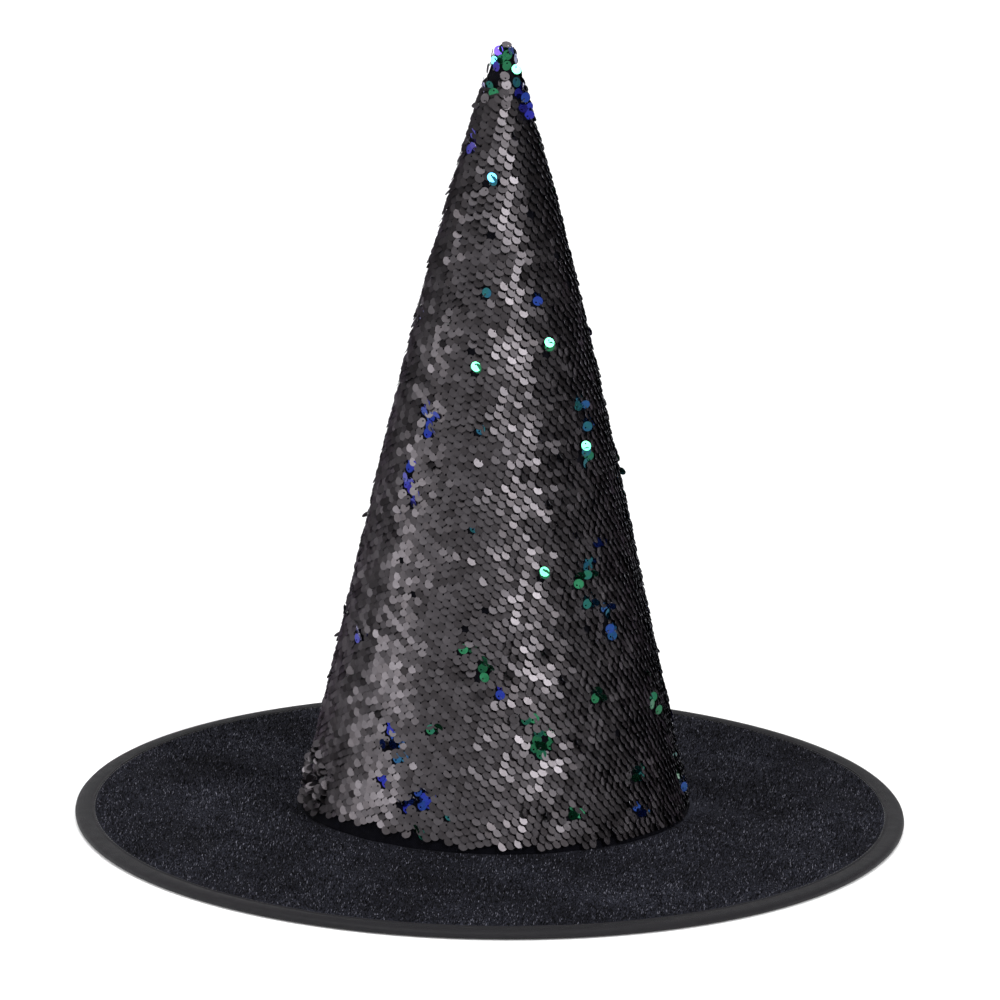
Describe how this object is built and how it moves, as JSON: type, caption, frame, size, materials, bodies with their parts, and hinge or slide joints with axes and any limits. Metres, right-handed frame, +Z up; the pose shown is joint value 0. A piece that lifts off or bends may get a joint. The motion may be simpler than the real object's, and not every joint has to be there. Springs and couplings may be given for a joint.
{
  "type": "witch hat",
  "caption": "Tall pointed costume hat with a flat wire-edged brim, a bound rim, and an oval cone covered in flip sequins.",
  "frame": {"origin": "centre of the round brim, on the surface that the hat stands on", "axes": "+Z up to the tip, -Y the wearer's front, +X the wearer's left"},
  "size_m": [0.4199, 0.42, 0.3899],
  "materials": {
    "velour": "short-pile velour",
    "binding_tape": "ribbed tape, satin",
    "needle_felt": "matte felt",
    "lining_cloth": "plain weave, matte",
    "net_cloth": "fine mesh",
    "sweatband_tape": "ribbed cotton tape",
    "thread": "polyester thread",
    "label_satin": "satin, blank",
    "sequin_matte": "matte charcoal film",
    "sequin_flip": "iridescent film on one side, matte charcoal on the other",
    "spring_wire": "drawn spring wire",
    "ferrule_metal": "plain crimp tube"
  },
  "bodies": {
    "hat": {"brim_underside_cloth": "lining_cloth", "brim_core": "needle_felt", "brim_top_velour": "velour", "brim_edge_binding": "binding_tape", "brim_edge_wire": "spring_wire", "brim_wire_ferrule": "ferrule_metal", "binding_seam_thread": "thread", "crown_sequin_layer": "sequin_matte", "crown_backing_net": "net_cloth", "crown_stiffener": "needle_felt", "crown_lining": "lining_cloth", "sweatband": "sweatband_tape", "crown_brim_seam_thread": "thread", "sweatband_seam_thread": "thread", "back_seam_thread": "thread", "tip_thread": "thread", "care_label": "label_satin", "sequin_thread_loops": "thread"},
    "sequin_01": {"flip_sequin_01": "sequin_flip"},
    "sequin_02": {"flip_sequin_02": "sequin_flip"},
    "sequin_03": {"flip_sequin_03": "sequin_flip"},
    "sequin_04": {"flip_sequin_04": "sequin_flip"},
    "sequin_05": {"flip_sequin_05": "sequin_flip"},
    "sequin_06": {"flip_sequin_06": "sequin_flip"},
    "sequin_07": {"flip_sequin_07": "sequin_flip"},
    "sequin_08": {"flip_sequin_08": "sequin_flip"},
    "sequin_09": {"flip_sequin_09": "sequin_flip"},
    "sequin_10": {"flip_sequin_10": "sequin_flip"},
    "sequin_11": {"flip_sequin_11": "sequin_flip"},
    "sequin_12": {"flip_sequin_12": "sequin_flip"},
    "sequin_13": {"flip_sequin_13": "sequin_flip"},
    "sequin_14": {"flip_sequin_14": "sequin_flip"},
    "sequin_15": {"flip_sequin_15": "sequin_flip"},
    "sequin_16": {"flip_sequin_16": "sequin_flip"}
  },
  "joints": [
    {"name": "flip_01", "type": "hinge", "parent": "hat", "child": "sequin_01", "pos_m": [-0.00321, -0.00736, 0.37727], "axis": [-0.5102, 0.5216, 0.6838], "range_deg": [-150, 22]},
    {"name": "flip_02", "type": "hinge", "parent": "hat", "child": "sequin_02", "pos_m": [0.01084, -0.00894, 0.36226], "axis": [-0.6526, -0.3657, 0.6636], "range_deg": [-155, 17]},
    {"name": "flip_03", "type": "hinge", "parent": "hat", "child": "sequin_03", "pos_m": [-0.00424, -0.02286, 0.32323], "axis": [-0.6502, 0.3231, 0.6876], "range_deg": [-150, 22]},
    {"name": "flip_04", "type": "hinge", "parent": "hat", "child": "sequin_04", "pos_m": [-0.00655, -0.03558, 0.27021], "axis": [-0.66, 0.2928, 0.6918], "range_deg": [-158, 14]},
    {"name": "flip_05", "type": "hinge", "parent": "hat", "child": "sequin_05", "pos_m": [0.02436, -0.03657, 0.2442], "axis": [-0.708, -0.2054, 0.6757], "range_deg": [-155, 17]},
    {"name": "flip_06", "type": "hinge", "parent": "hat", "child": "sequin_06", "pos_m": [-0.01068, -0.04287, 0.23419], "axis": [-0.6461, 0.3152, 0.6952], "range_deg": [-160, 12]},
    {"name": "flip_07", "type": "hinge", "parent": "hat", "child": "sequin_07", "pos_m": [0.04328, -0.03697, 0.1922], "axis": [-0.6246, -0.3925, 0.6752], "range_deg": [-150, 22]},
    {"name": "flip_08", "type": "hinge", "parent": "hat", "child": "sequin_08", "pos_m": [-0.04463, -0.03604, 0.17819], "axis": [-0.3581, 0.614, 0.7034], "range_deg": [-160, 12]},
    {"name": "flip_09", "type": "hinge", "parent": "hat", "child": "sequin_09", "pos_m": [0.02372, -0.06127, 0.13618], "axis": [-0.727, -0.0734, 0.6828], "range_deg": [-152, 20]},
    {"name": "flip_10", "type": "hinge", "parent": "hat", "child": "sequin_10", "pos_m": [0.05643, -0.04978, 0.10619], "axis": [-0.6301, -0.3826, 0.6757], "range_deg": [-158, 14]},
    {"name": "flip_11", "type": "hinge", "parent": "hat", "child": "sequin_11", "pos_m": [-0.07361, -0.01227, 0.10519], "axis": [0.0155, 0.7184, 0.6955], "range_deg": [-150, 22]},
    {"name": "flip_12", "type": "hinge", "parent": "hat", "child": "sequin_12", "pos_m": [-0.00479, -0.07388, 0.08718], "axis": [-0.694, 0.1951, 0.693], "range_deg": [-156, 16]},
    {"name": "flip_13", "type": "hinge", "parent": "hat", "child": "sequin_13", "pos_m": [0.01265, -0.07702, 0.07018], "axis": [-0.7243, 0.06, 0.6868], "range_deg": [-8, 164]},
    {"name": "flip_14", "type": "hinge", "parent": "hat", "child": "sequin_14", "pos_m": [0.08251, -0.03114, 0.06021], "axis": [-0.4431, -0.5869, 0.6777], "range_deg": [-155, 17]},
    {"name": "flip_15", "type": "hinge", "parent": "hat", "child": "sequin_15", "pos_m": [0.02377, -0.07848, 0.05419], "axis": [-0.7301, -0.0198, 0.683], "range_deg": [-150, 22]},
    {"name": "flip_16", "type": "hinge", "parent": "hat", "child": "sequin_16", "pos_m": [-0.05381, -0.06352, 0.05019], "axis": [-0.4692, 0.5343, 0.7032], "range_deg": [-158, 14]}
  ]
}
